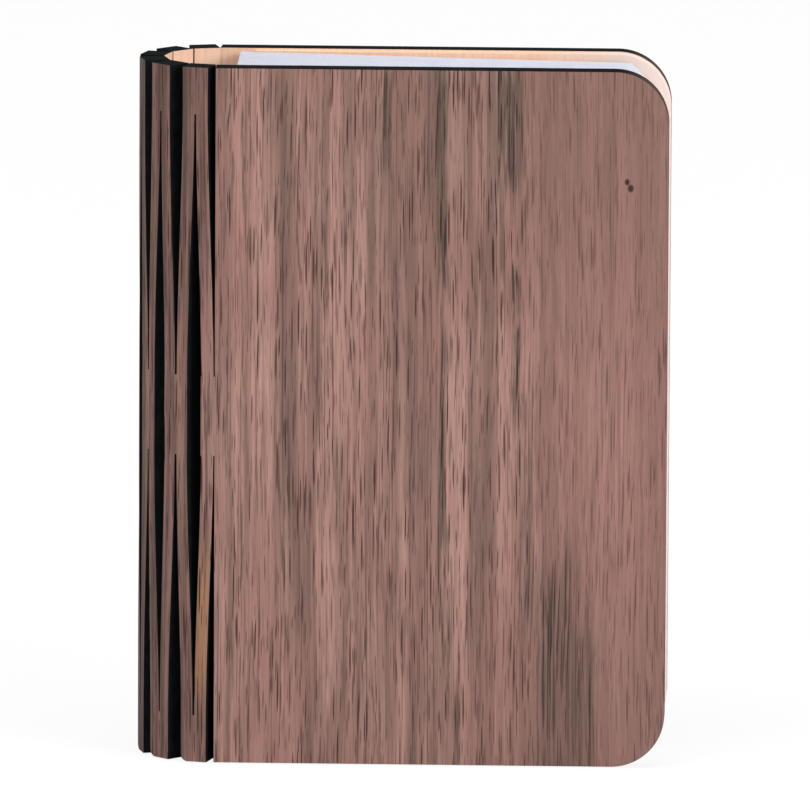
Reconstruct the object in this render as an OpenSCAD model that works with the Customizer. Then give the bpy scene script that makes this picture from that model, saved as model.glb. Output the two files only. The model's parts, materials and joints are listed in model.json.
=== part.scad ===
// Folding book lamp, closed and standing. Two wooden covers are joined by a spine that is cut
// into a lattice of slats, bars and links, so that stiff wood folds right round. A fan of
// paper pages fills the book and spreads into the shade when the covers open.
// X runs from the spine to the fore-edge, Y from the front cover to the back cover, Z up.
// The origin is on the ground, at the middle of the closed book.

/* [Book] */
// Height of the covers
book_h = 122; // [90:1:220]
// Width over all, from the spine's back to the fore-edge
book_w = 92; // [74:1:170]
// Thickness of a cover with its lining, and of the slats
cover_t = 4.4; // [4.2:0.1:6.5]
// Radius of the covers' fore-edge corners
corner_r = 9.3; // [3:0.1:20]
// Thickness of the pale sheet inside each cover
lining_t = 0.5; // [0.3:0.1:0.8]
// How far the lining stops short of the cover's edge
lining_inset = 0.4; // [0.2:0.1:2]

/* [Spine] */
// Number of slats round the spine
slat_count = 6; // [4:1:6]
// Distance from one slat to the next when the spine lies flat
slat_pitch = 6; // [5.4:0.1:8]
// Least gap between a slat's end and its neighbour when folded
end_gap = 0.105; // [0.08:0.005:0.3]
// Least gap between two links when folded
mid_gap = 0.04; // [0.03:0.005:0.2]
// Width of a kerf at its closed tip
kerf_tip = 0.15; // [0.1:0.01:0.3]
// Height of the solid block at each end of a slat
end_block = 8.2; // [4:0.1:12]
// Radius of the rounded corner at the foot of each slat
foot_r = 1.3; // [0.5:0.1:2]
// Height of the links at mid height
link_h = 14; // [8:0.5:24]
// Number of steps in each twisting bar
bar_steps = 12; // [6:1:14]

/* [Pages] */
// Thickness of a page
page_t = 0.3; // [0.2:0.05:0.4]
// Gap between a lining and the page next to it
page_side_gap = 0.55; // [0.4:0.05:1]
// How far the page folds lie from the spine's centre line
page_start = 3.1; // [2:0.1:8]
// How far the pages stop short of the fore-edge
page_fore_inset = 3; // [1.5:0.1:8]
// How far the pages stop short of the covers' ends, at the fold
page_inset_in = 0.6; // [0.3:0.1:4]
// The same at the fore-edge
page_inset_out = 1.8; // [0.5:0.1:6]
// Cut across each outer corner of a page
page_corner = 4; // [1:0.5:10]

/* [Power and light] */
// Battery width, across the cover
battery_w = 34; // [20:1:60]
// Battery height
battery_h = 60; // [30:1:80]
// Battery thickness
battery_t = 2.4; // [1.5:0.1:2.6]
// Circuit board width
board_w = 24; // [12:1:40]
// Circuit board height
board_h = 14; // [10:1:20]
// Circuit board thickness
board_t = 0.8; // [0.6:0.1:1.2]
// Charging socket width
socket_w = 7.6; // [6:0.1:10]
// Charging socket thickness
socket_t = 2.6; // [2.2:0.1:2.7]
// Charging socket depth
socket_d = 5.4; // [4:0.1:8]
// Wall of the socket's metal shell
socket_wall = 0.35; // [0.2:0.05:0.5]
// Width of each light strip
strip_w = 4.6; // [3:0.1:6]
// Thickness of each light strip's base
strip_t = 0.3; // [0.2:0.05:0.4]
// Number of light chips on each strip
chip_count = 14; // [6:1:20]
// Size of a light chip along and across its strip
chip_size = [2.8, 2.2];
// Radius of the magnets that hold the book shut
magnet_r = 4; // [2:0.5:6]
// Thickness of the magnets
magnet_t = 1.6; // [1:0.1:2]
// Distance of the magnets from the covers' ends
magnet_end = 20; // [16:1:40]
// Distance of the magnets from the fore-edge
magnet_fore = 9; // [7:0.5:20]
// Clearance round each piece that is let into a cover
seat_gap = 0.1; // [0.05:0.01:0.3]

/* [Hidden] */
$fn = 64;
// How far a cutting shape runs past the face it cuts
over = 1;
SLATS = [for (i = [1:slat_count]) str("slat_", i)];
LINKS = [for (i = [1:slat_count - 1]) str("link_", i)];
BARS = [for (i = [1:slat_count]) str("slat_bars_", i)];
page_count = 4 * slat_count;
PAGES = [for (i = [1:page_count]) str("page_", i < 10 ? "0" : "", i)];

// The spine is a chain of frames, half a slat pitch apart. Frame 0 is the back cover, odd
// frames are slats, even frames are links and the last frame is the front cover.
last_frame = 2 * slat_count;
fold = 180 / last_frame;
frame_w = slat_pitch / 2;
fold_rho = frame_w / (2 * tan(fold / 2));
half_t = cover_t / 2;
end_kerf = cover_t * sin(fold) + 2 * end_gap;
mid_kerf = cover_t * sin(fold) + 2 * mid_gap;
end_block_w = slat_pitch - end_kerf;
link_w = slat_pitch - mid_kerf;
bar_h = (book_h - link_h) / 2 - end_block;
link_z = end_block + bar_h;

book_t = cover_t + 2 * fold_rho;
spine_reach = fold_rho + (end_block_w / 2 - frame_w / 2) * sin(fold) + half_t * cos(fold);
spine_x = spine_reach - book_w / 2;
fore_x = book_w / 2;
board_face = book_t / 2 - cover_t + lining_t;
lining_face = book_t / 2 - cover_t;

page_x = spine_x + page_start;
page_pitch = 2 * (lining_face - page_side_gap) / page_count;

tongue_root = 0.9;
strip_x = spine_x + 1.2;
lining_x = strip_x + strip_w + 2 * seat_gap;
strip_end = 8;
strip_glue = 0.02;
strip_h = book_h - 2 * strip_end;
chip_t = lining_t;
pocket_d = max(battery_t, socket_t) + 2 * seat_gap;
board_x = spine_x + 12;
socket_x = board_x + board_w / 2;
battery_x = board_x + 4;
battery_z = book_h / 2 - battery_h / 2 + 4;
cell_r = battery_t / 2 - 0.05;
tape_h = 3;
tape_t = 1.2;
tape_inset = 1;
tape_lap = 0.5;
// Parts on the circuit board: place across and up, width, height and how far they stand proud
board_parts = [[3, 4.9, 4, 4, 0.9], [10, 5.9, 3.5, 3.5, 1.2], [17, 3.9, 4.5, 3, 1],
    [15, 9.4, 7, 3, 1]];
part_sink = 0.2;
socket_lift = 0.2;
tongue_inset = 1.4;
tongue_lift = 1.2;
tongue_t = 0.6;
sensor_w = 4;
sensor_h = 3;
sensor_t = 1.5;
sensor_z = book_h / 2;
sensor_magnet_r = 1.5;
magnet_x = fore_x - magnet_fore;

// Places a child in frame k: local Y points out of the spine, local X along it
module at_frame(k) {
    translate([spine_x, 0, 0]) rotate([0, 0, k * fold]) translate([0, fold_rho, 0]) children();
}

// A point of frame k's plan, given along and out from the middle of its thickness
function frame_point(k, along, out) =
    let (a = k * fold, r = fold_rho + out)
    [spine_x + along * cos(a) - r * sin(a), along * sin(a) + r * cos(a)];

function smooth(u) = u * u * (3 - 2 * u);

// Turns a plan point about the axis between frame j - 1 and frame j
function about_axis(j, along, out, angle) =
    let (p = frame_point(j, frame_w / 2, 0))
    [p[0] + along * cos(angle) - out * sin(angle), p[1] + along * sin(angle) + out * cos(angle)];

// Corners of one bar's section at height share u, from its slat (0) to its link (1).
// The bar lies round axis j. Its slat is on the side of growing frames when slat_side is -1.
function bar_ring(j, u, slat_side) =
    let (
        w = smooth(u),
        slat_k = slat_side < 0 ? j : j - 1,
        link_k = slat_side < 0 ? j - 1 : j,
        angle = fold * (slat_k + (link_k - slat_k) * w),
        at_slat = frame_w / 2 - (kerf_tip + (mid_kerf - kerf_tip) * max(u, w)) / 2,
        at_link = frame_w / 2 - (kerf_tip + (end_kerf - kerf_tip) * max(1 - u, 1 - w)) / 2,
        low = slat_side < 0 ? -at_slat : -at_link,
        high = slat_side < 0 ? at_link : at_slat
    )
    [for (c = [[low, -half_t], [high, -half_t], [high, half_t], [low, half_t]])
        about_axis(j, c[0], c[1], angle)];

// One bar, twisting from the end block of its slat to the link beside it
module bar(j, slat_side) {
    rings = [for (i = [0:bar_steps])
        let (ring = bar_ring(j, i / bar_steps, slat_side))
        for (c = ring) [c[0], c[1], end_block + bar_h * i / bar_steps]];
    top = 4 * bar_steps;
    sides = [for (i = [0:bar_steps - 1], c = [0:3])
        let (a = 4 * i + c, b = 4 * i + (c + 1) % 4)
        each [[a, a + 4, b + 4], [a, b + 4, b]]];
    caps = [[0, 1, 2], [0, 2, 3], [top, top + 2, top + 1], [top, top + 3, top + 2]];
    polyhedron(points = rings, faces = concat(sides, caps));
}

// The bars of slat n: two from its lower end block and two from its upper one
module slat_bars(n) {
    k = 2 * n - 1;
    color("rosybrown") for (upper = [0, 1])
        translate([0, 0, upper * book_h]) mirror([0, 0, upper]) {
            bar(k, -1);
            bar(k + 1, 1);
        }
}

// A slat's lower end block, rounded at the foot on its right, or on its left when flipped
module foot_block(flipped) {
    mirror([flipped, 0, 0]) translate([0, half_t, 0]) rotate([90, 0, 0]) linear_extrude(cover_t)
        difference() {
            translate([-end_block_w / 2, 0]) square([end_block_w, end_block]);
            translate([end_block_w / 2 - foot_r, foot_r]) difference() {
                translate([0, -2 * foot_r]) square(2 * foot_r);
                circle(foot_r);
            }
        }
}

// A slat's two end blocks. The rounded foot is on the side away from the nearer cover.
module slat(n) {
    color("rosybrown") at_frame(2 * n - 1) {
        foot_block(n <= slat_count / 2 ? 1 : 0);
        translate([-end_block_w / 2, -half_t, book_h - end_block])
            cube([end_block_w, cover_t, end_block]);
    }
}

// A link joins the bars of two slats at mid height
module link(n) {
    color("rosybrown") at_frame(2 * n) translate([-link_w / 2, -half_t, link_z])
        cube([link_w, cover_t, link_h]);
}

// Outline of a cover, seen from the front, kept a margin inside its edge
module cover_outline(margin, from_x) {
    r = corner_r - margin;
    right = fore_x - margin;
    difference() {
        translate([from_x, margin]) square([right - from_x, book_h - 2 * margin]);
        for (top = [0, 1]) translate([0, top * book_h]) mirror([0, top]) difference() {
            translate([right - r, margin]) square([r + over, r]);
            translate([right - r, margin + r]) circle(r);
        }
        for (top = [0, 1]) translate([0, top * book_h]) mirror([0, top])
            translate([from_x - over, margin - over]) square([fore_x - from_x + 2 * over, over]);
    }
}

// Extrudes an outline between two distances from the book's middle, on the back half
module back_sheet(near, far) {
    translate([0, far, 0]) rotate([90, 0, 0]) linear_extrude(far - near) children();
}

// A box let into the back half from its board's inner face
module back_box(x, z, w, h, near, far) {
    translate([x, near, z]) cube([w, far - near, h]);
}

// A cover board, with the tongue that the spine's outer bars join
module cover_board() {
    back_sheet(board_face, book_t / 2) cover_outline(0, spine_x);
    translate([spine_x - link_w / 2, lining_face, link_z])
        cube([link_w / 2 + tongue_root, cover_t, link_h]);
}

// The recess of a light strip
module strip_recess() {
    back_box(strip_x - seat_gap, book_h / 2 - strip_h / 2 - seat_gap, strip_w + 2 * seat_gap,
        strip_h + 2 * seat_gap, board_face - over, board_face + strip_t + strip_glue);
}

// Discs at the places of the closing magnets
module magnet_discs(r, near, far) {
    for (z = [magnet_end, book_h - magnet_end])
        translate([magnet_x, near, z]) rotate([-90, 0, 0]) cylinder(r = r, h = far - near);
}

// The disc that the sensor feels
module sensor_disc(r, near, far) {
    translate([magnet_x, near, sensor_z]) rotate([-90, 0, 0]) cylinder(r = r, h = far - near);
}

module back_cover() {
    color("rosybrown") difference() {
        cover_board();
        strip_recess();
        magnet_discs(magnet_r + seat_gap, board_face - over, board_face + magnet_t + seat_gap);
        // battery, board, sensor and socket pockets
        back_box(battery_x - seat_gap, battery_z - seat_gap, battery_w + 2 * seat_gap,
            battery_h + 2 * seat_gap, board_face - over, board_face + pocket_d);
        back_box(board_x - seat_gap, socket_d - seat_gap, board_w + 2 * seat_gap,
            board_h + 2 * seat_gap, board_face - over, board_face + pocket_d);
        back_box(magnet_x - sensor_w / 2 - seat_gap, sensor_z - sensor_h / 2 - seat_gap,
            sensor_w + 2 * seat_gap, sensor_h + 2 * seat_gap, board_face - over,
            board_face + sensor_t + seat_gap);
        back_box(socket_x - socket_w / 2 - seat_gap, -over, socket_w + 2 * seat_gap,
            socket_d + over + seat_gap, board_face - over, board_face + pocket_d);
    }
}

module front_cover() {
    color("rosybrown") mirror([0, 1, 0]) difference() {
        cover_board();
        strip_recess();
        magnet_discs(magnet_r + seat_gap, board_face - over, board_face + magnet_t + seat_gap);
        sensor_disc(sensor_magnet_r + seat_gap, board_face - over, board_face + magnet_t + seat_gap);
    }
}

// The pale sheet inside a cover, from the light strip to the fore-edge
module lining() {
    color("navajowhite") back_sheet(lining_face, board_face) cover_outline(lining_inset, lining_x);
}

module back_lining() {
    lining();
}

module front_lining() {
    mirror([0, 1, 0]) lining();
}

// Outline of a page, seen from the front
module page_outline() {
    out_x = fore_x - page_fore_inset;
    polygon([
        [page_x, page_inset_in],
        [out_x - page_corner, page_inset_out],
        [out_x, page_inset_out + page_corner],
        [out_x, book_h - page_inset_out - page_corner],
        [out_x - page_corner, book_h - page_inset_out],
        [page_x, book_h - page_inset_in]]);
}

// Page i, counted from the back cover
module page(i) {
    y = lining_face - page_side_gap - (i - 0.5) * page_pitch;
    color("lavender") back_sheet(y - page_t / 2, y + page_t / 2) page_outline();
}

// A light strip: a thin base with a row of chips on it
module light_strip() {
    first = book_h / 2 - strip_h / 2;
    step = strip_h / chip_count;
    color("ivory") {
        back_box(strip_x, first, strip_w, strip_h, board_face, board_face + strip_t);
        for (i = [0:chip_count - 1])
            back_box(strip_x + strip_w / 2 - chip_size[1] / 2,
                first + step * (i + 0.5) - chip_size[0] / 2, chip_size[1], chip_size[0],
                board_face - chip_t, board_face + strip_t / 2);
    }
}

module back_light_strip() {
    light_strip();
}

module front_light_strip() {
    mirror([0, 1, 0]) light_strip();
}

// Flat cell with rounded long edges and a taped end
module battery() {
    mid = board_face + pocket_d - seat_gap - battery_t / 2;
    color("silver") {
        for (x = [battery_x + cell_r, battery_x + battery_w - cell_r])
            translate([x, mid, battery_z]) cylinder(r = cell_r, h = battery_h - tape_h);
        back_box(battery_x + cell_r, battery_z, battery_w - 2 * cell_r, battery_h - tape_h,
            mid - cell_r, mid + cell_r);
        back_box(battery_x + tape_inset, battery_z + battery_h - tape_h - tape_lap,
            battery_w - 2 * tape_inset, tape_h + tape_lap, mid - tape_t / 2, mid + tape_t / 2);
    }
}

// Circuit board with its controller, coil and connector blocks
module control_board() {
    top = board_face + pocket_d - seat_gap;
    base = top - board_t;
    color("darkgreen") {
        back_box(board_x, socket_d + seat_gap, board_w, board_h, base, top);
        for (p = board_parts)
            back_box(board_x + p[0], socket_d + seat_gap + p[1], p[2], p[3], base - p[4],
                base + part_sink);
    }
}

// Metal shell of the charging socket, with its contact tongue, open at the bottom
module charging_socket() {
    top = board_face + pocket_d - seat_gap;
    x = socket_x - socket_w / 2;
    color("silver") {
        difference() {
            back_box(x, socket_lift, socket_w, socket_d - socket_lift, top - socket_t, top);
            back_box(x + socket_wall, -over, socket_w - 2 * socket_wall, socket_d,
                top - socket_t + socket_wall, top - socket_wall);
        }
        back_box(x + tongue_inset, tongue_lift, socket_w - 2 * tongue_inset,
            socket_d - tongue_lift - socket_wall / 2, top - (socket_t + tongue_t) / 2,
            top - (socket_t - tongue_t) / 2);
    }
}

// Sensor that feels the front cover's small magnet and puts the light out
module lid_sensor() {
    color("dimgray") back_box(magnet_x - sensor_w / 2, sensor_z - sensor_h / 2, sensor_w, sensor_h,
        board_face + seat_gap, board_face + sensor_t);
}

module back_magnets() {
    color("silver") magnet_discs(magnet_r, board_face + seat_gap, board_face + magnet_t);
}

module front_magnets() {
    color("silver") mirror([0, 1, 0])
        magnet_discs(magnet_r, board_face + seat_gap, board_face + magnet_t);
}

module sensor_magnet() {
    color("silver") mirror([0, 1, 0])
        sensor_disc(sensor_magnet_r, board_face + seat_gap, board_face + magnet_t);
}

back_cover();
front_cover();
back_lining();
front_lining();
for (i = [1:slat_count]) slat(i);
for (i = [1:slat_count - 1]) link(i);
for (i = [1:slat_count]) slat_bars(i);
for (i = [1:page_count]) page(i);
back_light_strip();
front_light_strip();
battery();
control_board();
charging_socket();
lid_sensor();
back_magnets();
front_magnets();
sensor_magnet();
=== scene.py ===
import json
import math

import bmesh
import bpy
from mathutils import Matrix, Vector


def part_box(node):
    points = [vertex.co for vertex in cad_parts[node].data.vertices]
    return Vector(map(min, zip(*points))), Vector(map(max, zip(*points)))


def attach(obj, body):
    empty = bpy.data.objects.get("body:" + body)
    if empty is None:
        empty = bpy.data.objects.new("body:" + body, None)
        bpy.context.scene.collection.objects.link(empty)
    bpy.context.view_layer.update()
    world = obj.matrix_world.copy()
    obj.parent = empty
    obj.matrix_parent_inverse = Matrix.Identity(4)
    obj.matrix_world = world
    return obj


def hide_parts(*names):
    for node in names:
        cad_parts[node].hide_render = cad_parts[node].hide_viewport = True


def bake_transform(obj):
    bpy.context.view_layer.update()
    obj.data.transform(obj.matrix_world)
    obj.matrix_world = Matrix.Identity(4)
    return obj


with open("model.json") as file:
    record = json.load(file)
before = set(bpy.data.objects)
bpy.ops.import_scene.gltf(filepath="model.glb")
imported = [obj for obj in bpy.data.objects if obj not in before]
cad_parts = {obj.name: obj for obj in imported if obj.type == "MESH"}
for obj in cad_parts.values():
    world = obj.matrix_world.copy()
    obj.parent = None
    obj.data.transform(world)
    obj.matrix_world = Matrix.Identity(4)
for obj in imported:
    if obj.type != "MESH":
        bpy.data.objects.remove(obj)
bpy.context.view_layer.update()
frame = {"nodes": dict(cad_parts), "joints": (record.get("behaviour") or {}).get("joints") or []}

mm = 0.001
# a face or edge this near a plane lies on it, and a direction with this much of an axis runs along it
touch = 0.01 * mm
square = 0.9
book = dict(height=122 * mm, cover=4.4 * mm, lining=0.5 * mm, corner=9.3 * mm, arris=0.12 * mm, seat=0.1 * mm,
            backReach=0.17 * mm)
spine = dict(slats=6, pitch=6 * mm, endGap=0.105 * mm, midGap=0.04 * mm, kerfTip=0.15 * mm,
             endBlock=8.2 * mm, linkHeight=14 * mm, arris=0.08 * mm, footRound=1.3 * mm, rings=18)
# bends are the steps of a folded edge: how far out, and which share of the lip
pages = dict(insetIn=0.45 * mm, insetOut=1.8 * mm, corner=4 * mm, lip=0.17 * mm, foldInset=0.5 * mm,
             bends=((0.10 * mm, 0.35), (0.08 * mm, 0.65)))

# the spine's layout comes from its hinges: frame 0 is the back cover, the last one the front cover
hinges = [Vector(j["pos_m"]) for j in frame["joints"] if j["name"].startswith("spine_fold")]
lastFrame = 2 * spine["slats"]
foldAngle = math.pi / lastFrame
frameWidth = spine["pitch"] / 2
rho = hinges[0].y
spineX = hinges[0].x + frameWidth / 2
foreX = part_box("back_lining")[1].x + 0.4 * mm
height = book["height"]
halfCover = book["cover"] / 2
innerY = rho - halfCover
boardInner = innerY + book["lining"]
boardOuter = rho + halfCover
endKerf = book["cover"] * math.sin(foldAngle) + 2 * spine["endGap"]
midKerf = book["cover"] * math.sin(foldAngle) + 2 * spine["midGap"]
barHeight = (height - spine["linkHeight"]) / 2 - spine["endBlock"]
linkZ = spine["endBlock"] + barHeight


def framePlace(k):
    turn = Matrix.Rotation(k * foldAngle, 4, "Z")
    return Matrix.Translation((spineX, 0, 0)) @ turn @ Matrix.Translation((0, rho, 0))


def smooth(u):
    u = min(max(u, 0), 1)
    return u * u * (3 - 2 * u)


def clearSelection():
    bpy.ops.object.select_all(action="DESELECT")


def startBox(name, low, high):
    clearSelection()
    low, high = Vector(low), Vector(high)
    bpy.ops.mesh.primitive_cube_add(size=1, location=(low + high) / 2, scale=high - low)
    piece = bpy.context.active_object
    piece.name = piece.data.name = name
    bpy.ops.object.transform_apply(location=True, rotation=True, scale=True)
    return piece


def openEdit(piece):
    clearSelection()
    piece.select_set(True)
    bpy.context.view_layer.objects.active = piece
    bpy.ops.object.mode_set(mode="EDIT")


def closeEdit():
    bpy.ops.object.mode_set(mode="OBJECT")


def choose(piece, kind, test):
    bpy.ops.mesh.select_mode(type=kind)
    bpy.ops.mesh.select_all(action="DESELECT")
    mesh = bmesh.from_edit_mesh(piece.data)
    for part in mesh.edges if kind == "EDGE" else mesh.faces:
        part.select_set(bool(test(part)))
    bmesh.update_edit_mesh(piece.data)


def middle(part):
    return sum((v.co for v in part.verts), Vector()) / len(part.verts)


def along(edge):
    return (edge.verts[1].co - edge.verts[0].co).normalized()


def isArris(edge):
    return len(edge.link_faces) == 2 and edge.calc_face_angle(0) > math.radians(30)


def cut(point, normal, clear=False):
    bpy.ops.mesh.select_all(action="SELECT")
    bpy.ops.mesh.bisect(plane_co=point, plane_no=Vector(normal).normalized(), threshold=0.001 * mm,
                        use_fill=clear, clear_outer=clear)


def turnZ(angle, centre=(0, 0, 0)):
    bpy.ops.transform.rotate(value=-angle, orient_axis="Z", center_override=centre)


def copyPiece(piece, name):
    clearSelection()
    piece.select_set(True)
    bpy.context.view_layer.objects.active = piece
    bpy.ops.object.duplicate()
    twin = bpy.context.active_object
    twin.name = twin.data.name = name
    return twin


def flip(piece, axis, about=0.0):
    # mirrors the mesh across a plane square to axis, with its faces kept outwards
    clearSelection()
    piece.select_set(True)
    bpy.context.view_layer.objects.active = piece
    piece.scale[axis] = -1
    piece.location[axis] = 2 * about
    bpy.ops.object.transform_apply(location=True, rotation=True, scale=True)
    openEdit(piece)
    bpy.ops.mesh.select_all(action="SELECT")
    bpy.ops.mesh.normals_make_consistent(inside=False)
    closeEdit()


def putAt(piece, place):
    clearSelection()
    piece.select_set(True)
    bpy.context.view_layer.objects.active = piece
    piece.matrix_world = place
    bpy.ops.object.transform_apply(location=True, rotation=True, scale=True)


def joinPieces(parts, name):
    clearSelection()
    for part in parts:
        part.select_set(True)
    bpy.context.view_layer.objects.active = parts[0]
    bpy.ops.object.join()
    parts[0].name = parts[0].data.name = name
    return parts[0]


def shadeByAngle(piece, degrees=25):
    clearSelection()
    piece.select_set(True)
    bpy.context.view_layer.objects.active = piece
    bpy.ops.object.shade_smooth_by_angle(angle=math.radians(degrees))


def sink(piece, cutter):
    carve = piece.modifiers.new("pocket", "BOOLEAN")
    carve.operation = "DIFFERENCE"
    carve.object = cutter
    clearSelection()
    piece.select_set(True)
    bpy.context.view_layer.objects.active = piece
    bpy.ops.object.modifier_apply(modifier="pocket")
    bpy.data.objects.remove(cutter, do_unlink=True)


def writeGrain(piece, rule):
    # keeps where each point lies on the unrolled wood: across, depth, height
    store = piece.data.attributes.new("grain", "FLOAT_VECTOR", "POINT")
    for i, v in enumerate(piece.data.vertices):
        store.data[i].vector = rule(v.co)


class Value:
    def __init__(self, finish, socket):
        self.finish = finish
        self.socket = socket

    def sum(self, operation, *others):
        sockets = {i: v for i, v in enumerate((self,) + others)}
        return self.finish.node("ShaderNodeMath", {"operation": operation}, sockets)

    def __add__(self, other): return self.sum("ADD", other)
    def __radd__(self, other): return self.sum("ADD", other)
    def __sub__(self, other): return self.sum("SUBTRACT", other)
    def __mul__(self, other): return self.sum("MULTIPLY", other)
    def __truediv__(self, other): return self.sum("DIVIDE", other)

    def ramp(self, low, high, start=0.0, end=1.0):
        settings = {"interpolation_type": "SMOOTHSTEP"}
        return self.finish.node("ShaderNodeMapRange", settings, {0: self, 1: low, 2: high, 3: start, 4: end})


class Finish:
    def __init__(self, name):
        self.material = bpy.data.materials.new(name)
        self.material.use_nodes = True
        self.tree = self.material.node_tree
        self.shader = self.tree.nodes["Principled BSDF"]

    def node(self, kind, settings=None, sockets=None, out=0):
        made = self.tree.nodes.new(kind)
        for key, value in (settings or {}).items():
            setattr(made, key, value)
        for key, value in (sockets or {}).items():
            if isinstance(value, Value):
                self.tree.links.new(value.socket, made.inputs[key])
            else:
                made.inputs[key].default_value = value
        return Value(self, made.outputs[out])

    def grain(self):
        # the unrolled place of a point, in millimetres
        place = self.node("ShaderNodeAttribute", {"attribute_name": "grain"}, out=1)
        return self.scaled(place, (1000, 1000, 1000))

    def place(self):
        return self.scaled(self.node("ShaderNodeTexCoord", out=3), (1000, 1000, 1000))

    def scaled(self, vector, sizes):
        return self.node("ShaderNodeVectorMath", {"operation": "MULTIPLY"}, {0: vector, 1: sizes})

    def moved(self, vector, offset):
        return self.node("ShaderNodeVectorMath", {"operation": "ADD"}, {0: vector, 1: offset})

    def axes(self, vector):
        split = self.tree.nodes.new("ShaderNodeSeparateXYZ")
        self.tree.links.new(vector.socket, split.inputs[0])
        return [Value(self, s) for s in split.outputs]

    def vector(self, x, y, z):
        return self.node("ShaderNodeCombineXYZ", sockets={0: x, 1: y, 2: z})

    def noise(self, vector, sizes, detail=2.0, rough=0.5, twist=0.0):
        # sizes are the features' own sizes along each axis, in millimetres
        coords = self.scaled(vector, tuple(1 / s for s in sizes))
        sockets = {"Vector": coords, "Scale": 1.0, "Detail": detail, "Roughness": rough, "Distortion": twist}
        return self.node("ShaderNodeTexNoise", sockets=sockets)

    def cells(self, vector, sizes):
        coords = self.scaled(vector, tuple(1 / s for s in sizes))
        return self.node("ShaderNodeTexVoronoi", sockets={"Vector": coords, "Scale": 1.0})

    def mix(self, factor, first, second):
        settings = {"data_type": "RGBA"}
        return self.node("ShaderNodeMix", settings, {0: factor, 6: first, 7: second}, out=2)

    def bump(self, relief, depth):
        # depth is in metres, for a relief that runs from 0 to 1
        return self.node("ShaderNodeBump", sockets={"Strength": 1.0, "Distance": depth, "Height": relief})

    def finish(self, colour=None, **values):
        if colour is not None:
            values["Base Color"] = colour
        for key, value in values.items():
            key = key.replace("_", " ")
            if isinstance(value, Value):
                self.tree.links.new(value.socket, self.shader.inputs[key])
            else:
                self.shader.inputs[key].default_value = value
        return self.material


def shade(red, green, blue):
    # a screen colour as the shader's own numbers
    def linear(c):
        c /= 255
        return c / 12.92 if c <= 0.04045 else ((c + 0.055) / 1.055) ** 2.4
    return (linear(red), linear(green), linear(blue), 1.0)


# the spine colour and farSideShade are painted shade on the slats that face away from the key lamp
walnut = dict(light=shade(174, 134, 123), warm=shade(155, 113, 104), dull=shade(101, 79, 70),
              smoke=shade(84, 70, 60), streak=shade(36, 29, 25), pore=shade(62, 36, 31),
              mottle=shade(92, 73, 62), red=shade(144, 104, 96), orange=shade(168, 122, 84),
              spine=shade(92, 71, 62), strandLight=shade(160, 117, 110), strandDark=shade(62, 53, 45),
              farSideShade=shade(56, 51, 45), knot=shade(34, 22, 18))
# dark figures in the veneer: middle, half width, foot and head in millimetres, and strength
figures = [(-21.6, 0.3, 84, 106, 0.9), (-20.6, 0.8, 20, 124, 0.35), (-13.5, 1.2, 81, 96, 0.5),
           (-14.3, 0.5, 60, 83, 0.6), (-9.3, 1.5, 88, 124, 0.45), (-2.6, 1.1, 101, 121, 0.85),
           (-2.0, 0.4, 88, 101, 0.55), (-1.2, 0.7, 50, 92, 0.45), (6.8, 1.3, 81, 124, 1.1),
           (7.3, 0.9, 22, 81, 0.85), (18.6, 2.7, 100, 124, 1.15), (17.4, 0.6, 81, 101, 0.65),
           (19.4, 1.6, 79, 88, 0.6), (14.0, 3.4, 76, 99, 0.4), (19.8, 0.9, 58, 80, 0.75),
           (-10.4, 1.6, 36, 60, 0.45),
           (8.2, 1.2, -4, 36, 0.55), (-2.2, 2.6, 27, 37, 0.4), (21.7, 1.5, 22, 62, 0.65),
           (22.9, 0.25, 22, 45, 0.9), (27.4, 4.6, 3, 38, 0.75), (31.4, 3.6, -4, 30, 0.65),
           (27.2, 5.0, -6, 8, 0.62),
           (9.6, 1.0, -6, 13, 0.6), (-12.1, 1.8, -6, 13, 0.45), (-29.6, 0.8, 18, 24, 0.4),
           (-33.3, 0.25, 56, 67, 0.8), (-8.6, 0.5, 66, 70, 0.9), (-30.0, 0.4, 110, 113, 0.8),
           (4.6, 0.3, 95, 124, 0.7)]
# pin knots: across, height and radius in millimetres
pinKnots = [(38.9, 102.8, 0.42), (39.5, 101.7, 0.5)]


def dashes(f, x, z, width, length, seed, core):
    # short dark lines along the grain, each with its own width and length
    at = f.vector(x / width + seed, z / length + seed * 1.7, 0)
    settings = {"voronoi_dimensions": "2D"}
    away = f.node("ShaderNodeTexVoronoi", settings, {"Vector": at, "Scale": 1.0})
    own = Value(f, away.socket.node.outputs["Color"])
    size = f.axes(own)[0]
    return (away / (size * 0.9 + 0.1)).ramp(core * 0.62, core, 1, 0)


def spineToneAndShade(f, colour, line, x, z):
    # the spine's wood is streakier, and painted shade darkens its slats, which face away from the key lamp,
    # more towards their top and bottom and most of all round its far side
    isSpine = x.ramp(-33.6, -32.6, 1, 0)
    # painted shade over the spine's slats, stronger towards their top and bottom
    colour = f.mix(isSpine * (z - 61).sum("ABSOLUTE").ramp(6, 24, 0.25, 0.62), colour, walnut["spine"])
    strand = f.noise(f.moved(line, (9, 0, 0)), (0.8, 20, 45), 2, 0.55)
    colour = f.mix(isSpine * strand.ramp(0.5, 0.66, 0, 0.4), colour, walnut["strandLight"])
    colour = f.mix(isSpine * strand.ramp(0.5, 0.36, 0, 0.5), colour, walnut["strandDark"])
    # painted shade on the far-side slat, which faces away from the key lamp
    colour = f.mix(x.ramp(-45.6, -44.8, 0.5, 0) * x.ramp(-50.6, -49.8), colour, walnut["farSideShade"])
    orange = (x + 33.9).sum("ABSOLUTE").ramp(0.5, 1.6, 1, 0) * z.ramp(6, 16) * z.ramp(30, 42, 1, 0)
    return f.mix(orange * 0.55, colour, walnut["orange"])


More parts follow.
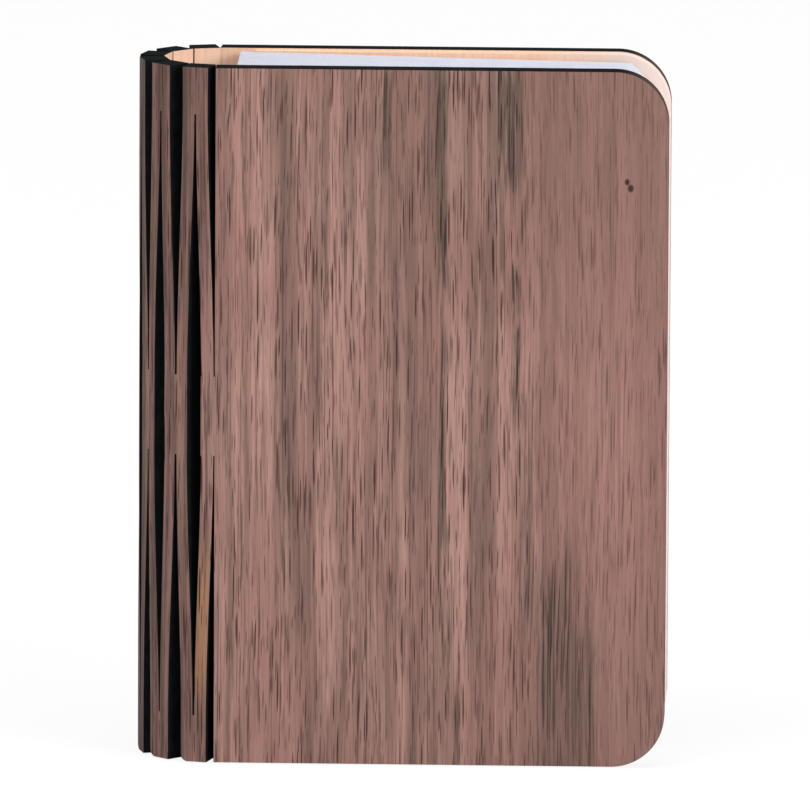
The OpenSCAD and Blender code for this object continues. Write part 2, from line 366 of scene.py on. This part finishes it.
def figureSmoke(f, line, across, z):
    # the figures' ends are ragged, so the height is shifted from fibre to fibre
    raggedZ = z + (f.noise(line, (0.7, 20, 60), 1, 0.5) - 0.5) * 22
    smoke = None
    for middleX, half, foot, head, strength in figures:
        shape = ((across - middleX).sum("ABSOLUTE") / half).ramp(0.35, 1.2, 1, 0)
        reach = ((raggedZ - (foot + head) / 2).sum("ABSOLUTE") / ((head - foot) / 2)).ramp(0.6, 1.15, 1, 0)
        shape = shape * reach * strength
        smoke = shape if smoke is None else smoke.sum("MAXIMUM", shape)
    ragged = f.noise(line, (0.55, 20, 20), 3, 0.65)
    return (smoke * ragged.ramp(0.3, 0.62, 0.2, 1.3)).sum("MINIMUM", 1.0)


def poreCrowd(f, line, x):
    # pores crowd together in places and thin out towards the fore-edge
    return f.noise(line, (2.4, 20, 34), 2, 0.6).ramp(0.36, 0.56, 0.5, 1.0) * x.ramp(18, 27, 1, 0.62)


def poreMarks(f, line, across, z, fibre, crowd):
    small = dashes(f, across, z, 0.5, 11, 3.1, 0.24)
    middling = dashes(f, across, z, 0.7, 21, 11.3, 0.24)
    large = dashes(f, across + (fibre - 0.5) * 0.25, z, 1.2, 38, 23.7, 0.15)
    hairs = f.noise(line, (0.26, 20, 36), 1, 0.5).ramp(0.6, 0.68)
    pores = (small * 0.75).sum("MAXIMUM", middling).sum("MAXIMUM", large)
    return (pores.sum("MAXIMUM", hairs * 0.6) * crowd).sum("MINIMUM", 1.0)


def knotMarks(f, x, z, fibre):
    knot = None
    for knotX, knotZ, size in pinKnots:
        offX, offZ = (x - knotX + (fibre - 0.5) * 0.5) / size, (z - knotZ) / (size * 1.3)
        spot = (offX * offX + offZ * offZ).ramp(0.15, 1.9, 0.92, 0)
        knot = spot if knot is None else knot.sum("MAXIMUM", spot)
    return knot


def walnutFinish():
    f = Finish("walnut veneer")
    at = f.grain()
    x, depth, z = f.axes(at)
    sway = (f.noise(at, (22, 40, 48), 1) - 0.5) * 1.1 + (f.noise(at, (3.2, 40, 18), 1) - 0.5) * 0.2
    across = x + sway
    line = f.vector(across, depth, z)
    band = f.noise(f.moved(line, (17, 0, 0)), (3.0, 20, 150), 2, 0.6)
    cloud = f.noise(line, (9, 20, 34), 2, 0.5)
    fibre = f.noise(line, (0.34, 20, 15), 3, 0.7)
    thread = f.noise(line, (0.24, 20, 40), 1, 0.5)
    colour = f.mix(band.ramp(0.34, 0.62, 0.2, 1), walnut["dull"], walnut["light"])
    colour = f.mix(cloud.ramp(0.38, 0.66) * 0.65, colour, walnut["warm"])
    colour = f.mix(x.ramp(12, 26) * 0.6, colour, walnut["red"])
    colour = f.mix(z.ramp(62, 118) * x.ramp(-16, -2) * 0.36, colour, walnut["dull"])
    colour = f.mix(z.ramp(48, 8) * x.ramp(6, 22) * 0.2, colour, walnut["dull"])
    colour = f.mix(fibre.ramp(0.62, 0.36) * 0.32, colour, walnut["dull"])
    colour = f.mix(thread.ramp(0.6, 0.4) * 0.08, colour, walnut["pore"])
    colour = spineToneAndShade(f, colour, line, x, z)
    smoke = figureSmoke(f, line, across, z)
    colour = f.mix(smoke * 0.8, colour, walnut["smoke"])
    streaks = f.noise(line, (0.36, 20, 34), 2, 0.62).ramp(0.5, 0.62)
    colour = f.mix(streaks * smoke.ramp(0.4, 0.8) * 0.85, colour, walnut["streak"])
    crowd = poreCrowd(f, line, x)
    mottle = f.noise(f.moved(line, (40, 0, 9)), (0.75, 20, 13), 3, 0.62).ramp(0.5, 0.68)
    colour = f.mix(mottle * crowd * 0.7, colour, walnut["mottle"])
    pores = poreMarks(f, line, across, z, fibre, crowd)
    colour = f.mix(pores * 0.95, colour, f.mix(smoke, walnut["pore"], walnut["streak"]))
    knot = knotMarks(f, x, z, fibre)
    colour = f.mix(knot, colour, walnut["knot"])
    relief = fibre * 0.35 + thread * 0.2 - pores * 0.6 - knot * 0.5
    rough = 0.6 + fibre * 0.1 + pores * 0.12
    return f.finish(colour, Roughness=rough, Normal=f.bump(relief, 0.00008), Specular_IOR_Level=0.2)


def charredFinish():
    # edges that the laser burned: near black, with faint streaks across the plies; towards the fore-edge a
    # painted highlight makes them browner, where the rounded corner faces the key lamp
    f = Finish("charred edge")
    at = f.place()
    x = f.axes(at)[0]
    soot = f.noise(at, (1.6, 1.6, 2.6), 4, 0.6)
    ply = f.noise(at, (9, 0.35, 9), 2, 0.6)
    colour = f.mix(soot.ramp(0.35, 0.75), shade(8, 12, 13), shade(20, 22, 23))
    colour = f.mix(ply.ramp(0.5, 0.8) * 0.4, colour, shade(27, 24, 23))
    # painted highlight: browner towards the fore-edge, where the rounded corner faces the key lamp
    colour = f.mix(x.ramp(37, 44) * 0.8, colour, shade(86, 64, 58))
    relief = f.bump(soot + ply * 0.5, 0.00006)
    return f.finish(colour, Roughness=0.85, Normal=relief, Specular_IOR_Level=0.08)


def paleFinish():
    # the pale inner veneer
    f = Finish("pale inner veneer")
    at = f.place()
    fibre = f.noise(at, (0.5, 0.5, 20), 3, 0.6)
    cloud = f.noise(at, (12, 12, 60), 2)
    colour = f.mix(fibre.ramp(0.3, 0.75), shade(243, 200, 171), shade(250, 213, 187))
    colour = f.mix(cloud.ramp(0.4, 0.8) * 0.3, colour, shade(238, 188, 154))
    colour = f.mix(f.axes(at)[0].ramp(20, 42) * 0.85, colour, shade(226, 211, 203))
    relief = f.bump(fibre, 0.00005)
    return f.finish(colour, Roughness=0.6 + fibre * 0.1, Normal=relief, Specular_IOR_Level=0.3)


def paperFinish():
    # tough spun sheet: faint swirling fibres
    f = Finish("spun paper")
    at = f.place()
    fibre = f.noise(at, (0.5, 0.5, 0.5), 5, 0.7, 1.2)
    cloud = f.noise(at, (7, 7, 7), 3)
    colour = f.mix(fibre.ramp(0.3, 0.7), shade(213, 215, 226), shade(228, 229, 239))
    colour = f.mix(cloud.ramp(0.45, 0.75) * 0.3, colour, shade(206, 206, 220))
    relief = f.bump(fibre, 0.00004)
    return f.finish(colour, Roughness=0.72 + fibre * 0.1, Normal=relief, Specular_IOR_Level=0.25)


def stripFinish():
    f = Finish("light strip")
    at = f.place()
    y = f.axes(at)[1]
    chip = y.sum("ABSOLUTE").ramp(9.2, 9.6, 1, 0)
    grit = f.noise(at, (0.3, 0.3, 0.3), 4)
    colour = f.mix(chip, shade(232, 230, 220), shade(228, 205, 96))
    colour = f.mix(grit.ramp(0.4, 0.8) * 0.3, colour, shade(205, 200, 186))
    return f.finish(colour, Roughness=0.45 + grit * 0.15, Normal=f.bump(grit, 0.00002))


def foilFinish():
    f = Finish("cell foil")
    at = f.place()
    crumple = f.noise(at, (4, 4, 4), 5, 0.65, 0.6)
    colour = f.mix(crumple.ramp(0.3, 0.7), shade(150, 152, 156), shade(205, 207, 210))
    return f.finish(colour, Roughness=0.3 + crumple * 0.2, Metallic=0.9, Normal=f.bump(crumple, 0.0002))


def boardFinish():
    f = Finish("circuit board")
    at = f.place()
    weave = f.cells(at, (0.6, 0.6, 0.6))
    route = f.noise(at, (1.1, 3, 1.1), 0)
    track = route.ramp(0.47, 0.5) * route.ramp(0.5, 0.53, 1, 0)
    colour = f.mix(weave.ramp(0.2, 0.8), shade(16, 84, 48), shade(24, 104, 60))
    colour = f.mix(track * 0.7, colour, shade(58, 146, 90))
    return f.finish(colour, Roughness=0.35 + weave * 0.15, Normal=f.bump(track, 0.00003))


def steelFinish(name, low, high, roughness):
    f = Finish(name)
    at = f.place()
    brush = f.noise(at, (0.2, 0.2, 6), 3, 0.6)
    mark = f.noise(at, (2, 2, 2), 4)
    colour = f.mix(brush.ramp(0.3, 0.7), low, high)
    return f.finish(colour, Roughness=roughness + brush * 0.12, Metallic=1.0, Normal=f.bump(mark, 0.00002))


def sensorFinish():
    f = Finish("sensor case")
    at = f.place()
    grit = f.noise(at, (0.25, 0.25, 0.25), 4)
    colour = f.mix(grit.ramp(0.35, 0.7), shade(22, 22, 24), shade(40, 40, 43))
    return f.finish(colour, Roughness=0.5 + grit * 0.15, Normal=f.bump(grit, 0.00003))


veneer = walnutFinish()
charred = charredFinish()
pale = paleFinish()
paper = paperFinish()
print("finishes made")


# how deep and wide the covers are cut for what lies in them
pocket = dict(past=0.5 * mm, stripDeep=0.32 * mm, magnetRadius=4 * mm, magnetFromEnd=20 * mm,
              sensorRadius=1.5 * mm, sides=48)


def seatedPocket(cover, node, side):
    # lets a node's box, grown by its clearance, into the cover from its inner face
    low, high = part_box(node)
    low, high = low - Vector((1, 1, 1)) * book["seat"], high + Vector((1, 1, 1)) * book["seat"]
    inner = side * boardInner
    if side > 0:
        low.y = inner - pocket["past"]
    else:
        high.y = inner + pocket["past"]
    if node == "charging_socket":
        low.z = -1 * mm
    sink(cover, startBox("pocket", low, high))


def roundPockets(cover, node, side, radius, heights):
    low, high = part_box(node)
    x = (low.x + high.x) / 2
    inner = side * boardInner
    deep = max(abs(low.y), abs(high.y)) + book["seat"]
    for z in heights:
        clearSelection()
        bpy.ops.mesh.primitive_cylinder_add(vertices=pocket["sides"], radius=radius + book["seat"],
                                            depth=2 * (deep - abs(inner)), location=(x, inner, z),
                                            rotation=(math.pi / 2, 0, 0))
        cutter = bpy.context.active_object
        bpy.ops.object.transform_apply(location=True, rotation=True, scale=True)
        sink(cover, cutter)


def shapeCover(name, side):
    low = (spineX, min(side * boardInner, side * boardOuter), 0)
    high = (foreX, max(side * boardInner, side * boardOuter), height)
    cover = startBox(name + "_board", low, high)
    openEdit(cover)
    choose(cover, "EDGE", lambda e: abs(along(e).y) > square and middle(e).x > foreX - mm)
    bpy.ops.mesh.bevel(offset=book["corner"], offset_type="OFFSET", segments=28, affect="EDGES")
    for z in (linkZ, linkZ + spine["linkHeight"]):
        cut((0, 0, z), (0, 0, 1))
    choose(cover, "FACE", lambda p: p.normal.x < -square and abs(middle(p).z - height / 2) < mm)
    reach = (spine["pitch"] - midKerf) / 2
    bpy.ops.mesh.extrude_region_move(TRANSFORM_OT_translate={"value": (-reach, 0, 0)})
    # the tongue is as thick as the links beside it
    choose(cover, "FACE", lambda p: abs(middle(p).y) < boardInner + touch and middle(p).x < spineX - mm
           and abs(p.normal.y) > square)
    bpy.ops.mesh.extrude_region_move(TRANSFORM_OT_translate={"value": (0, -side * book["lining"], 0)})
    if side > 0:
        reachToSlat(cover)
    choose(cover, "EDGE", lambda e: isArris(e) and abs(abs(middle(e).y) - boardOuter) < touch
           and middle(e).x > spineX - 0.1 * mm)
    bpy.ops.mesh.bevel(offset=book["arris"], offset_type="OFFSET", segments=2, affect="EDGES")
    closeEdit()
    return cover


def reachToSlat(cover):
    # beside the first slat's ends the inner half of the back cover's edge reaches closer, so no light
    # shows between them, and the outer half clears the slat when the spine folds the other way
    for z in (spine["endBlock"], height - spine["endBlock"]):
        cut((0, 0, z), (0, 0, 1))
    cut((0, rho, 0), (0, 1, 0))
    choose(cover, "FACE", lambda p: p.normal.x < -square and abs(middle(p).x - spineX) < touch
           and middle(p).y < rho and abs(middle(p).z - height / 2) > height / 2 - spine["endBlock"])
    bpy.ops.mesh.extrude_region_move(TRANSFORM_OT_translate={"value": (-book["backReach"], 0, 0)})


def carveCover(cover, side):
    if side > 0:
        for node in ("battery", "control_board", "charging_socket", "lid_sensor"):
            seatedPocket(cover, node, side)
    else:
        roundPockets(cover, "sensor_magnet", side, pocket["sensorRadius"], (height / 2,))
    low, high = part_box("back_light_strip" if side > 0 else "front_light_strip")
    grow = Vector((book["seat"], 0, book["seat"]))
    low, high = low - grow, high + grow
    edges = (side * (boardInner - pocket["past"]), side * (boardInner + pocket["stripDeep"]))
    low.y, high.y = min(edges), max(edges)
    sink(cover, startBox("pocket", low, high))
    magnets = "back_magnets" if side > 0 else "front_magnets"
    fromEnd = pocket["magnetFromEnd"]
    roundPockets(cover, magnets, side, pocket["magnetRadius"], (fromEnd, height - fromEnd))


def finishCover(cover, side):
    # the outside is veneered, also on the arris next to it, the inside pale and all the rest charred
    for finish in (veneer, charred, pale):
        cover.data.materials.append(finish)
    for p in cover.data.polygons:
        facing = p.normal.y * side
        outside = facing > 0.8 and abs(p.center.y) > boardOuter - 0.02 * mm
        p.material_index = 0 if outside else 2 if facing < -0.95 else 1
    if side > 0:
        writeGrain(cover, lambda co: (2 * spineX - lastFrame * frameWidth - co.x, abs(co.y) - rho, co.z))
    else:
        writeGrain(cover, lambda co: (co.x, abs(co.y) - rho, co.z))
    shadeByAngle(cover)


def modelCover(name, side):
    cover = shapeCover(name, side)
    carveCover(cover, side)
    finishCover(cover, side)
    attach(cover, name)
    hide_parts(name)


modelCover("back_cover", 1)
modelCover("front_cover", -1)
print("covers made")


def grainAt(k):
    # across the unrolled wood, at the middle of frame k
    return spineX - (lastFrame - k) * frameWidth


def splitFinishes(piece, outward):
    # outer faces are veneered, inner faces pale, all others charred
    for finish in (veneer, charred, pale):
        piece.data.materials.append(finish)
    for p in piece.data.polygons:
        facing = p.normal.dot(outward(p.center))
        p.material_index = 0 if facing > 0.93 else 2 if facing < -0.93 else 1


def modelBlock(name, width, foot, top, roundSide=0):
    # roundSide is the side, -1 or 1, on which the foot's corner is rounded
    block = startBox(name, (-width / 2, -halfCover, foot), (width / 2, halfCover, top))
    openEdit(block)
    if roundSide:
        choose(block, "EDGE", lambda e: abs(along(e).y) > square and middle(e).z < foot + 0.1 * mm
               and middle(e).x * roundSide > 0)
        bpy.ops.mesh.bevel(offset=spine["footRound"], offset_type="OFFSET", segments=8, affect="EDGES")
    choose(block, "EDGE", lambda e: isArris(e) and abs(along(e).z) > square and middle(e).y > 0)
    bpy.ops.mesh.bevel(offset=spine["arris"], offset_type="OFFSET", segments=2, affect="EDGES")
    closeEdit()
    return block


def seatOnFrame(piece, k, body, node):
    splitFinishes(piece, lambda centre: Vector((0, 1, 0)))
    writeGrain(piece, lambda co: (grainAt(k) - co.x, co.y, co.z))
    putAt(piece, framePlace(k))
    shadeByAngle(piece)
    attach(piece, body)
    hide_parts(node)


endWidth = spine["pitch"] - endKerf
linkWidth = spine["pitch"] - midKerf
footBlock = modelBlock("foot_block", endWidth, 0, spine["endBlock"], 1)
topBlock = modelBlock("top_block", endWidth, height - spine["endBlock"], height)
linkBlock = modelBlock("link_block", linkWidth, linkZ, linkZ + spine["linkHeight"])
for n in range(1, spine["slats"] + 1):
    foot = copyPiece(footBlock, "foot")
    if n <= spine["slats"] / 2:
        flip(foot, 0)
    slat = joinPieces([foot, copyPiece(topBlock, "top")], f"slat_ends_{n}")
    seatOnFrame(slat, 2 * n - 1, f"slat_{n}", f"slat_{n}")
for n in range(1, spine["slats"]):
    seatOnFrame(copyPiece(linkBlock, f"link_block_{n}"), 2 * n, f"link_{n}", f"link_{n}")
for template in (footBlock, topBlock, linkBlock):
    bpy.data.objects.remove(template, do_unlink=True)


def barTurn(z):
    # how far the bar's section is turned from the middle of its two frames
    return foldAngle * (0.5 - smooth((z - spine["endBlock"]) / barHeight))


def barMiddle(z):
    u = (z - spine["endBlock"]) / barHeight
    w = smooth(u)
    slatEdge = frameWidth / 2 - (spine["kerfTip"] + (midKerf - spine["kerfTip"]) * max(u, w)) / 2
    linkEdge = frameWidth / 2 - (spine["kerfTip"] + (endKerf - spine["kerfTip"]) * max(1 - u, 1 - w)) / 2
    return (linkEdge - slatEdge) / 2, linkEdge + slatEdge


def modelBar():
    # a bar beside the hinge line at the origin, with its slat on the -X side and its link on the +X side
    start = spine["endBlock"]
    centre, width = barMiddle(start)
    clearSelection()
    bpy.ops.mesh.primitive_plane_add(size=1, location=(centre, 0, start))
    bar = bpy.context.active_object
    bar.scale = (width, book["cover"], 1)
    bpy.ops.object.transform_apply(location=True, rotation=True, scale=True)
    openEdit(bar)
    bpy.ops.mesh.select_all(action="SELECT")
    turnZ(barTurn(start))
    step = barHeight / spine["rings"]
    for i in range(spine["rings"]):
        z = start + step * i
        before, after = barMiddle(z)[0], barMiddle(z + step)[0]
        bpy.ops.mesh.extrude_region_move(TRANSFORM_OT_translate={"value": (0, 0, step)})
        turnZ(barTurn(z + step) - barTurn(z))
        turned = Vector((math.cos(barTurn(z + step)), math.sin(barTurn(z + step)), 0))
        bpy.ops.transform.translate(value=turned * (after - before))
    bpy.ops.mesh.select_all(action="SELECT")
    bpy.ops.mesh.normals_make_consistent(inside=False)
    choose(bar, "EDGE", lambda e: abs(along(e).z) > square and middle(e).y > 0)
    bpy.ops.mesh.bevel(offset=spine["arris"], offset_type="OFFSET", segments=2, affect="EDGES")
    closeEdit()
    return bar


def unturned(co, z):
    a = barTurn(z)
    return (co.x * math.cos(a) + co.y * math.sin(a), co.y * math.cos(a) - co.x * math.sin(a))


def placeBar(j, isUpper):
    slatFrame, linkFrame = (j, j - 1) if j % 2 else (j - 1, j)
    bar = copyPiece(barShape, f"bar_{'upper' if isUpper else 'lower'}_{j:02d}")
    if j % 2 == 0:
        flip(bar, 0)
    mirror = 1 if j % 2 else -1
    axisGrain = (grainAt(j) + grainAt(j - 1)) / 2

    def outward(centre):
        turn = barTurn(centre.z)
        return Vector((-math.sin(turn) * mirror, math.cos(turn), 0))

    def grain(co):
        across, out = unturned(Vector((co.x * mirror, co.y, co.z)), co.z)
        return (axisGrain - across * mirror, out, height - co.z if isUpper else co.z)

    splitFinishes(bar, outward)
    writeGrain(bar, grain)
    if isUpper:
        flip(bar, 2, height / 2)
    hinge = hinges[j - 1]
    turn = Matrix.Rotation(foldAngle * (j - 0.5), 4, "Z")
    putAt(bar, Matrix.Translation((hinge.x, hinge.y, 0)) @ turn)
    shadeByAngle(bar)
    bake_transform(bar)
    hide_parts(f"slat_bars_{(slatFrame + 1) // 2}")


barShape = modelBar()
for j in range(1, lastFrame + 1):
    placeBar(j, False)
    placeBar(j, True)
bpy.data.objects.remove(barShape, do_unlink=True)
print("spine made")


def modelPage(i):
    low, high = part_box(f"page_{i:02d}")
    low.x += pages["foldInset"]
    # neighbours are joined at the fore-edge in pairs, and to the next pair at the fold
    lean = -1 if i % 2 else 1
    sheet = startBox(f"sheet_{i:02d}", (low.x, low.y, 0.2 * mm), (high.x, high.y, height - 0.2 * mm))
    openEdit(sheet)
    run = high.x - pages["corner"] - low.x
    drop = pages["insetOut"] - pages["insetIn"]
    for top in (False, True):
        up = 1 if top else -1
        edge = height - pages["insetIn"] if top else pages["insetIn"]
        cut((low.x, 0, edge), (drop, 0, up * run), True)
        cornerZ = height - pages["insetOut"] if top else pages["insetOut"]
        cut((high.x - pages["corner"], 0, cornerZ), (1, 0, up), True)
    for side, turn in ((1, lean), (-1, -lean)):
        edge = high.x if side > 0 else low.x
        choose(sheet, "FACE", lambda p: p.normal.x * side > 0.99 and abs(middle(p).x - edge) < touch)
        for reach, share in pages["bends"]:
            shift = (side * reach, turn * pages["lip"] * share, 0)
            bpy.ops.mesh.extrude_region_move(TRANSFORM_OT_translate={"value": shift})
    closeEdit()
    sheet.data.materials.append(paper)
    shadeByAngle(sheet, 50)
    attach(sheet, f"page_{i:02d}")
    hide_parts(f"page_{i:02d}")


for i in range(1, 4 * spine["slats"] + 1):
    modelPage(i)
print("pages made")


# finishes of the nodes that keep their own shape
nodeFinish = {
    "back_lining": pale, "front_lining": pale,
    "back_light_strip": stripFinish(), "battery": foilFinish(), "control_board": boardFinish(),
    "charging_socket": steelFinish("socket steel", shade(150, 150, 152), shade(190, 190, 192), 0.3),
    "lid_sensor": sensorFinish(),
    "back_magnets": steelFinish("plated magnet", shade(176, 174, 170), shade(208, 206, 202), 0.18),
}
nodeFinish["front_light_strip"] = nodeFinish["back_light_strip"]
nodeFinish["front_magnets"] = nodeFinish["sensor_magnet"] = nodeFinish["back_magnets"]
for name, finish in nodeFinish.items():
    node = frame["nodes"][name]
    node.data.materials.clear()
    node.data.materials.append(finish)
print("nodes finished")


floorSize = 12


def makeFloor():
    clearSelection()
    bpy.ops.mesh.primitive_plane_add(size=floorSize, location=(0, 0, -0.2 * mm))
    floor = bpy.context.active_object
    floor.name = "floor"
    f = Finish("white floor")
    grain = f.noise(f.place(), (400, 400, 400), 2)
    f.finish(f.mix(grain, shade(244, 244, 245), shade(248, 248, 249)), Roughness=0.9)
    glow = f.node("ShaderNodeEmission", sockets={"Color": (1, 1, 1, 1), "Strength": 1.0})
    seen = f.node("ShaderNodeLightPath")
    blend = f.node("ShaderNodeMixShader", sockets={0: seen * 0.88, 2: glow})
    f.tree.links.new(f.shader.outputs[0], blend.socket.node.inputs[1])
    f.tree.links.new(blend.socket, f.tree.nodes["Material Output"].inputs[0])
    floor.data.materials.append(f.material)


lampTarget = (0, 0, 0.06)


def makeLamp(name, place, target, size, power):
    lamp = bpy.data.objects.new(name, bpy.data.lights.new(name, "AREA"))
    lamp.data.size = size
    lamp.data.energy = power
    lamp.location = place
    lamp.rotation_euler = (Vector(target) - Vector(place)).to_track_quat("-Z", "Y").to_euler()
    bpy.context.scene.collection.objects.link(lamp)


def makeWorld():
    world = bpy.data.worlds.new("studio")
    bpy.context.scene.world = world
    world.use_nodes = True
    nodes, links = world.node_tree.nodes, world.node_tree.links
    back = nodes["Background"]
    back.inputs["Color"].default_value = (0.93, 0.95, 1.0, 1)
    back.inputs["Strength"].default_value = 0.25
    white = nodes.new("ShaderNodeBackground")
    white.inputs["Color"].default_value = (1, 1, 1, 1)
    path = nodes.new("ShaderNodeLightPath")
    mix = nodes.new("ShaderNodeMixShader")
    links.new(path.outputs["Is Camera Ray"], mix.inputs[0])
    links.new(back.outputs[0], mix.inputs[1])
    links.new(white.outputs[0], mix.inputs[2])
    links.new(mix.outputs[0], nodes["World Output"].inputs[0])


view = dict(azimuth=1.861, elevation=9.88, distance=3.0, lens=767.2, roll=0.303, aside=0.28 * mm)


def makeCamera():
    camera = bpy.data.objects.new("camera", bpy.data.cameras.new("camera"))
    bpy.context.scene.collection.objects.link(camera)
    a, e = math.radians(view["azimuth"]), math.radians(view["elevation"])
    back = Vector((math.sin(a) * math.cos(e), -math.cos(a) * math.cos(e), math.sin(e)))
    right = Vector((math.cos(a), math.sin(a), 0))
    target = Vector((0, 0, height / 2)) + right * view["aside"]
    camera.location = target + back * view["distance"]
    turn = back.to_track_quat("Z", "Y") @ Matrix.Rotation(math.radians(view["roll"]), 3, "Z").to_quaternion()
    camera.rotation_euler = turn.to_euler()
    camera.data.lens = view["lens"]
    camera.data.clip_end = 20
    bpy.context.scene.camera = camera


makeFloor()
makeWorld()
# place, size in metres and power in watts
lamps = dict(key=((3.0, -2.3, 1.6), 1.8, 110), fill=((-0.9, -1.0, 2.8), 1.2, 36),
             top=((0.2, -0.4, 2.8), 1.6, 40))
for name, (place, size, power) in lamps.items():
    makeLamp(name, place, lampTarget, size, power)
makeCamera()
bpy.context.scene.view_settings.view_transform = "Standard"
print("stage set")
